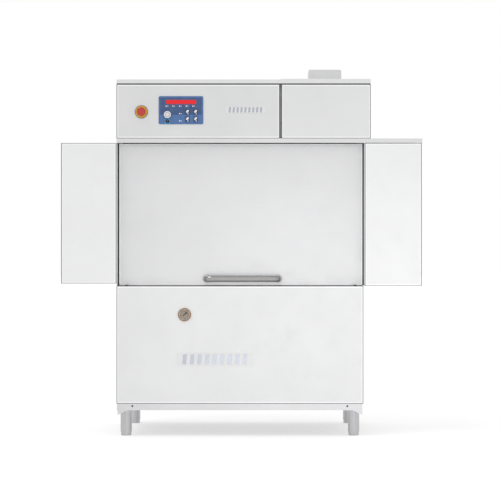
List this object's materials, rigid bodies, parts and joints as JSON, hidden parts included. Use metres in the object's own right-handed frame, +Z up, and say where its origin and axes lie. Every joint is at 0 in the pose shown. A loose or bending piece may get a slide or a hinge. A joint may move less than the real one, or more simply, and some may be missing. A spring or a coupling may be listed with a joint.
{
  "type": "rack conveyor dishwasher",
  "caption": "Stainless rack-conveyor dishwasher with a lifting door, end cowls, control housing with keypad, pressure gauge, exhaust cap and round levelling legs.",
  "frame": {"origin": "on the floor under the centre of the bounding box", "axes": "+X to the right along the rack travel seen from the front, +Y from the door towards the rear, +Z up"},
  "size_m": [1.636, 0.824, 1.692],
  "materials": {
    "brushed_panel": "fine brushed sheet",
    "satin_steel": "satin",
    "polished_handle": "polished",
    "dark_screw": "dark",
    "black_rubber": "matte",
    "cast_weight": "rough cast",
    "grey_bezel": "satin",
    "red_cap": "gloss",
    "blue_panel": "satin film",
    "white_button": "gloss",
    "white_key": "satin film with white icon",
    "black_knob": "satin",
    "gauge_brass": "satin",
    "gauge_face": "printed",
    "needle_black": "matte",
    "heater_sheath": "heat tinted",
    "motor_paint": "semi gloss",
    "pump_casting": "cast",
    "box_paint": "textured",
    "curtain_rubber": "matte"
  },
  "bodies": {
    "cabinet": {"apron_panel": "brushed_panel", "badges": "brushed_panel", "base_frame": "satin_steel", "base_shell": "brushed_panel", "bottom_rail": "satin_steel", "cable_gland": "black_knob", "control_lids": "brushed_panel", "control_panel": "blue_panel", "cowl_left": "brushed_panel", "cowl_right": "brushed_panel", "door_bumpers": "black_rubber", "electrical_box": "box_paint", "estop_bezel": "grey_bezel", "exhaust_cap": "brushed_panel", "fan_motor": "motor_paint", "fascia_panel": "brushed_panel", "frame_screws": "dark_screw", "gauge_case": "gauge_brass", "gauge_dial": "gauge_face", "gearmotor": "motor_paint", "guide_frame": "brushed_panel", "heater_element": "heater_sheath", "hood_shell": "brushed_panel", "ledge": "brushed_panel", "leg_tubes": "satin_steel", "pump_housing": "pump_casting", "pump_motor": "motor_paint", "right_cover_panel": "brushed_panel", "rinse_manifold": "satin_steel", "strainer_tray": "satin_steel", "top_housing": "brushed_panel", "track_rails": "satin_steel", "wash_manifold": "satin_steel", "wash_tank": "satin_steel"},
    "door": {"door_outer_skin": "brushed_panel", "door_inner_skin": "brushed_panel", "door_handle": "polished_handle"},
    "counterweight_pair": {"counterweights": "cast_weight"},
    "pulleys": {"pulley_shaft": "satin_steel"},
    "estop_button": {"estop_cap": "red_cap"},
    "start": {"start_button": "white_button"},
    "selector": {"selector_knob": "black_knob"},
    "needle": {"gauge_needle": "needle_black"},
    "fan_wheel": {"fan_impeller": "satin_steel"},
    "pump_wheel": {"pump_impeller": "pump_casting"},
    "standpipe": {"overflow_standpipe": "satin_steel"},
    "carriage": {"pawl_carriage": "satin_steel"},
    "pawls_1": {"pawl_shaft_1": "satin_steel"},
    "pawls_2": {"pawl_shaft_2": "satin_steel"},
    "rocker": {"drive_rocker": "satin_steel"},
    "curtain_in": {"entry_curtain": "curtain_rubber"},
    "curtain_out": {"exit_curtain": "curtain_rubber"},
    "key_upper_left_body": {"key_upper_left": "white_key"},
    "key_upper_right_body": {"key_upper_right": "white_key"},
    "key_lower_left_body": {"key_lower_left": "white_key"},
    "key_lower_right_body": {"key_lower_right": "white_key"},
    "foot_front_left_body": {"foot_front_left": "satin_steel"},
    "foot_front_right_body": {"foot_front_right": "satin_steel"},
    "foot_rear_left_body": {"foot_rear_left": "satin_steel"},
    "foot_rear_right_body": {"foot_rear_right": "satin_steel"}
  },
  "joints": [
    {"name": "door_lift", "type": "slide", "parent": "cabinet", "child": "door", "axis": [0, 0, 1], "range_m": [0, 0.43]},
    {"name": "counterweight_travel", "type": "slide", "parent": "cabinet", "child": "counterweight_pair", "axis": [0, 0, 1], "range_m": [-0.43, 0]},
    {"name": "pulley_turn", "type": "hinge", "parent": "cabinet", "child": "pulleys", "pos_m": [0, -0.2, 1.48], "axis": [1, 0, 0], "range_deg": [-5, 415]},
    {"name": "estop_push", "type": "slide", "parent": "cabinet", "child": "estop_button", "axis": [0, 1, 0], "range_m": [0, 0.004], "stiffness_N_per_m": 400},
    {"name": "start_push", "type": "slide", "parent": "cabinet", "child": "start", "axis": [0, 1, 0], "range_m": [0, 0.003], "stiffness_N_per_m": 300},
    {"name": "selector_turn", "type": "hinge", "parent": "cabinet", "child": "selector", "pos_m": [-0.336, -0.384, 1.426], "axis": [0, 1, 0], "range_deg": [0, 90]},
    {"name": "key_upper_left_press", "type": "slide", "parent": "cabinet", "child": "key_upper_left_body", "axis": [0, 1, 0], "range_m": [0, 0.0012], "stiffness_N_per_m": 400},
    {"name": "key_upper_right_press", "type": "slide", "parent": "cabinet", "child": "key_upper_right_body", "axis": [0, 1, 0], "range_m": [0, 0.0012], "stiffness_N_per_m": 400},
    {"name": "key_lower_left_press", "type": "slide", "parent": "cabinet", "child": "key_lower_left_body", "axis": [0, 1, 0], "range_m": [0, 0.0012], "stiffness_N_per_m": 400},
    {"name": "key_lower_right_press", "type": "slide", "parent": "cabinet", "child": "key_lower_right_body", "axis": [0, 1, 0], "range_m": [0, 0.0012], "stiffness_N_per_m": 400},
    {"name": "needle_turn", "type": "hinge", "parent": "cabinet", "child": "needle", "pos_m": [-0.259, -0.386, 0.551], "axis": [0, 1, 0], "range_deg": [-180, 90]},
    {"name": "fan_spin", "type": "hinge", "parent": "cabinet", "child": "fan_wheel", "pos_m": [0.387, 0.1, 1.49], "axis": [0, 0, 1], "continuous": true},
    {"name": "pump_spin", "type": "hinge", "parent": "cabinet", "child": "pump_wheel", "pos_m": [-0.3, 0.1, 0.262], "axis": [1, 0, 0], "continuous": true},
    {"name": "standpipe_lift", "type": "slide", "parent": "cabinet", "child": "standpipe", "axis": [0, 0, 1], "range_m": [0, 0.13]},
    {"name": "carriage_stroke", "type": "slide", "parent": "cabinet", "child": "carriage", "axis": [1, 0, 0], "range_m": [-0.08, 0.08]},
    {"name": "rocker_swing", "type": "hinge", "parent": "cabinet", "child": "rocker", "pos_m": [0, 0.34, 0.332], "axis": [0, 1, 0], "range_deg": [-10.5, 10.5]},
    {"name": "pawl_1_tilt", "type": "hinge", "parent": "carriage", "child": "pawls_1", "pos_m": [-0.25, 0, 0.824], "axis": [0, 1, 0], "range_deg": [0, 35]},
    {"name": "pawl_2_tilt", "type": "hinge", "parent": "carriage", "child": "pawls_2", "pos_m": [0.25, 0, 0.824], "axis": [0, 1, 0], "range_deg": [0, 35]},
    {"name": "entry_curtain_swing", "type": "hinge", "parent": "cabinet", "child": "curtain_in", "pos_m": [-0.545, 0, 1.308], "axis": [0, 1, 0], "range_deg": [-40, 40]},
    {"name": "exit_curtain_swing", "type": "hinge", "parent": "cabinet", "child": "curtain_out", "pos_m": [0.529, 0, 1.308], "axis": [0, 1, 0], "range_deg": [-40, 40]},
    {"name": "foot_front_left_turn", "type": "hinge", "parent": "cabinet", "child": "foot_front_left_body", "pos_m": [-0.527, -0.32, 0], "axis": [0, 0, 1], "continuous": true},
    {"name": "foot_rear_left_turn", "type": "hinge", "parent": "cabinet", "child": "foot_rear_left_body", "pos_m": [-0.527, 0.32, 0], "axis": [0, 0, 1], "continuous": true},
    {"name": "foot_front_right_turn", "type": "hinge", "parent": "cabinet", "child": "foot_front_right_body", "pos_m": [0.509, -0.32, 0], "axis": [0, 0, 1], "continuous": true},
    {"name": "foot_rear_right_turn", "type": "hinge", "parent": "cabinet", "child": "foot_rear_right_body", "pos_m": [0.509, 0.32, 0], "axis": [0, 0, 1], "continuous": true}
  ],
  "couplings": [
    {"joint": "counterweight_travel", "follows": "door_lift", "ratio": -1},
    {"joint": "pulley_turn", "follows": "door_lift", "rad_per_m": 16.667},
    {"joint": "rocker_swing", "follows": "carriage_stroke", "rad_per_m": 2.0325}
  ]
}
